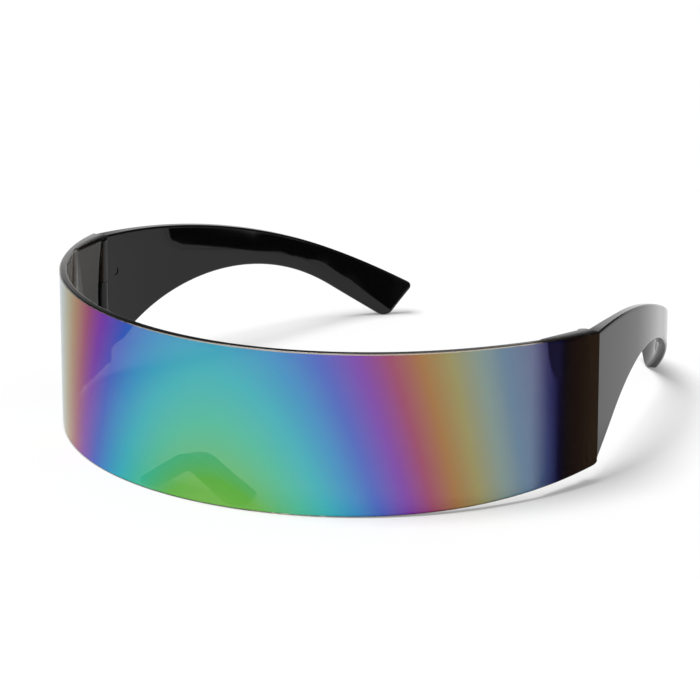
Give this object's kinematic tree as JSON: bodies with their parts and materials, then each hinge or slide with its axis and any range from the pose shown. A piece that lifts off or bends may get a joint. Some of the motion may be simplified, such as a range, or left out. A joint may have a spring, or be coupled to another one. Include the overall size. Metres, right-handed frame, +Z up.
{
  "type": "shield sunglasses",
  "caption": "Wrap-around shield sunglasses: curved mirror lens with hinge blocks, folding hooked temples on steel pins and an arched nose bridge.",
  "frame": {"origin": "middle of the footprint, on the surface that the opened glasses stand on", "axes": "+Z up, -Y the way the lens faces, +Y towards the temple tips, +X to the wearer's left"},
  "size_m": [0.15, 0.1536, 0.0404],
  "materials": {
    "mirror_lens": "tinted polycarbonate with a rainbow mirror coat",
    "temple_plastic": "polished black",
    "pin_steel": "drawn wire",
    "bridge_plastic": "smoke plastic"
  },
  "bodies": {
    "front": {"shield_lens": "mirror_lens", "right_hinge_pin": "pin_steel", "left_hinge_pin": "pin_steel", "nose_bridge": "bridge_plastic"},
    "right_arm": {"right_temple": "temple_plastic"},
    "left_arm": {"left_temple": "temple_plastic"}
  },
  "joints": [
    {"name": "right_fold", "type": "hinge", "parent": "front", "child": "right_arm", "pos_m": [0.07168, -0.0144, 0.0215], "axis": [0, 0, 1], "range_deg": [0, 90]},
    {"name": "left_fold", "type": "hinge", "parent": "front", "child": "left_arm", "pos_m": [-0.07168, -0.0144, 0.0215], "axis": [0, 0, -1], "range_deg": [0, 78]}
  ]
}
